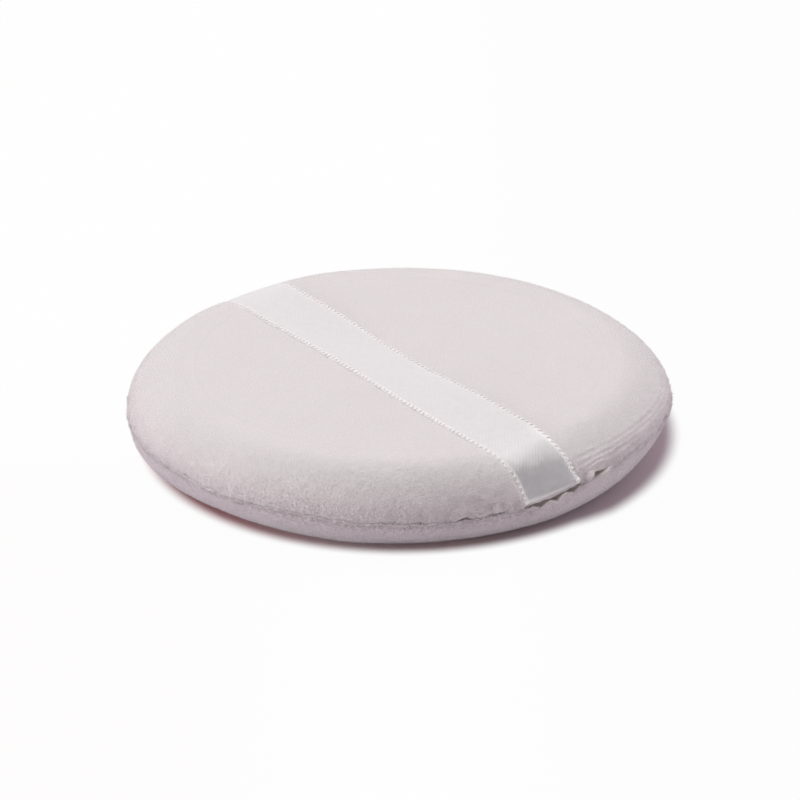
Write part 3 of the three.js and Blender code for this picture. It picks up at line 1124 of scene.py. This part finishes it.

# The floor keeps the shadow near the pad, deepened there by painted shade in three tones (a pink
# one, a darker one to the right and a redder one to the left), and turns plain white further out
PAINTED_SHADE_TONE = (0.96, 0.78, 0.78, 1)
PAINTED_SHADE_RIGHT_TONE = (0.54, 0.45, 0.49, 1)
PAINTED_SHADE_LEFT_TONE = (0.82, 0.44, 0.45, 1)
FLOOR_BOUNCE_TONE = (0.79, 0.75, 0.77, 1)
WHITE = (1, 1, 1, 1)
SHADE_MIDDLE = RIGHT * 0.0009 - TOWARD * 0.0032
SHADE_INNER = 0.0404
SHADE_OUTER = 0.0436
SHADE_TO_RIGHT = 0.0011
SHADE_CLEARED = 0.97

# Light from the room in front of the pad and from the backdrop behind it
ROOM_LEVEL = 0.31
BACKDROP_LEVEL = 0.60
BACKDROP_SIDE = RIGHT * 0.05 - TOWARD * 1.0
AMBIENT_TINT = (1.0, 0.93, 0.98, 1)

# Room that the satin mirrors: bright all round, with one dark patch
MIRROR_LEVEL = 1.20
DARK_SIDE = RIGHT * 0.72 + TOWARD * 0.05 + UP * 0.69
DARK_FROM, DARK_TO = 0.65, 0.92
DARK_TINT = (0.93, 0.88, 1.0, 1)
MIRROR_TINT = (1.0, 0.97, 0.965, 1)

bpy.ops.mesh.primitive_plane_add(size=6.0, location=(0, 0, 0))
floor = bpy.context.object
floor.name = "floor"
n = Nodes(bpy.data.materials.new("white_floor"))
path = n.add("ShaderNodeLightPath").outputs
mirrored = n.math("MAXIMUM", path["Is Glossy Ray"], path["Is Transmission Ray"])
seen = n.math("MAXIMUM", path["Is Camera Ray"], mirrored)
place = n.add("ShaderNodeNewGeometry").outputs["Position"]
rightward = n.vector("DOT_PRODUCT", place, RIGHT)
frontward = n.vector("DOT_PRODUCT", place, TOWARD)
# Painted shade: where the floor is seen, its colour near the pad is darker to the right and redder
# to the left
to_right = n.span(rightward, 0.008, 0.028)
to_left = n.math("MULTIPLY", n.span(rightward, -0.008, -0.028), n.span(frontward, 0.004, 0.014))
painted_shade_tone = n.mix(to_right, PAINTED_SHADE_TONE, PAINTED_SHADE_RIGHT_TONE)
painted_shade_tone = n.mix(to_left, painted_shade_tone, PAINTED_SHADE_LEFT_TONE)
tone = n.mix(seen, FLOOR_BOUNCE_TONE, painted_shade_tone)
near = n.shader("ShaderNodeBsdfDiffuse", {"Color": tone})
white = n.shader("ShaderNodeEmission", {"Color": WHITE, "Strength": 1.0})
wider = n.span(rightward, 0.0265, 0.0325, 0.0, SHADE_TO_RIGHT)
from_shade = n.math("SUBTRACT", n.vector("DISTANCE", place, SHADE_MIDDLE), wider)
fade = n.span(from_shade, SHADE_INNER, SHADE_OUTER, 0.0, SHADE_CLEARED, kind="SMOOTHSTEP")
mixed = n.shader("ShaderNodeMixShader", {0: n.math("MULTIPLY", fade, seen), 1: near, 2: white})
floor.data.materials.append(n.surface(mixed))

world = bpy.data.worlds.new("studio")
bpy.context.scene.world = world
n = Nodes(world)
path = n.add("ShaderNodeLightPath").outputs
direction = n.add("ShaderNodeTexCoord").outputs["Generated"]
behind = n.vector("DOT_PRODUCT", direction, BACKDROP_SIDE)
level = n.span(behind, -0.6, 0.9, ROOM_LEVEL, BACKDROP_LEVEL, kind="SMOOTHSTEP")
ambient = n.shader("ShaderNodeBackground", {0: AMBIENT_TINT, 1: level})
darkward = n.vector("DOT_PRODUCT", direction, DARK_SIDE)
level = n.span(darkward, DARK_FROM, DARK_TO, MIRROR_LEVEL, 0.0, kind="SMOOTHSTEP")
tint = n.mix(level, DARK_TINT, MIRROR_TINT)
reflected = n.shader("ShaderNodeBackground", {0: tint, 1: level})
backdrop = n.shader("ShaderNodeBackground", {0: WHITE, 1: 1.0})
room = n.shader("ShaderNodeMixShader", {0: path["Is Glossy Ray"], 1: ambient, 2: reflected})
sky = n.shader("ShaderNodeMixShader", {0: path["Is Camera Ray"], 1: room, 2: backdrop})
n.add("ShaderNodeOutputWorld", {0: sky})


def softbox(name, place, size, power, colour):
    """Square area lamp that looks at the pad."""
    data = bpy.data.lights.new(name, "AREA")
    data.shape = "SQUARE"
    data.size = size
    data.energy = power
    data.color = colour
    lamp = bpy.data.objects.new(name, data)
    bpy.context.scene.collection.objects.link(lamp)
    lamp.location = place
    lamp.rotation_mode = "QUATERNION"
    lamp.rotation_quaternion = (-place).to_track_quat("-Z", "Y")
    return lamp


key = softbox("key", RIGHT * -0.32 + TOWARD * 0.0 + UP * 0.88, 0.70, 4.35, (1.0, 0.99, 0.98))
# The satin mirrors the room in place of this lamp, which would burn it out from above
key.visible_glossy = False
softbox("back", RIGHT * 0.52 + TOWARD * -0.62 + UP * 0.58, 0.60, 1.1, (1.0, 0.99, 0.97))
softbox("fill", RIGHT * -0.90 + TOWARD * 0.38 + UP * 0.17, 0.60, 2.65, (1.0, 0.97, 0.99))
softbox("side", RIGHT * 0.90 + TOWARD * -0.28 + UP * 0.36, 0.50, 2.0, (1.0, 0.97, 1.0))

camera_data = bpy.data.cameras.new("camera")
camera_data.sensor_width = SENSOR
camera_data.lens = FOCAL_PIXELS * SENSOR / IMAGE_SIDE
camera_data.clip_start = 0.01
camera_data.clip_end = 50
camera = bpy.data.objects.new("camera", camera_data)
bpy.context.scene.collection.objects.link(camera)
bpy.context.scene.camera = camera
back_vector = TOWARD * math.cos(CAMERA_ELEVATION) + UP * math.sin(CAMERA_ELEVATION)
image_up = UP * math.cos(CAMERA_ELEVATION) - TOWARD * math.sin(CAMERA_ELEVATION)
pixel = CAMERA_DISTANCE / FOCAL_PIXELS
aim = image_up * ((ORIGIN_IN_IMAGE[1] - IMAGE_SIDE / 2) * pixel)
aim += RIGHT * ((IMAGE_SIDE / 2 - ORIGIN_IN_IMAGE[0]) * pixel)
camera.location = back_vector * CAMERA_DISTANCE
turn = (aim - camera.location).to_track_quat("-Z", "Y").to_matrix().to_4x4()
roll = Matrix.Rotation(CAMERA_ROLL, 4, "Z")
camera.rotation_mode = "QUATERNION"
camera.rotation_quaternion = (turn @ roll).to_quaternion()

bpy.context.scene.view_settings.view_transform = "Standard"
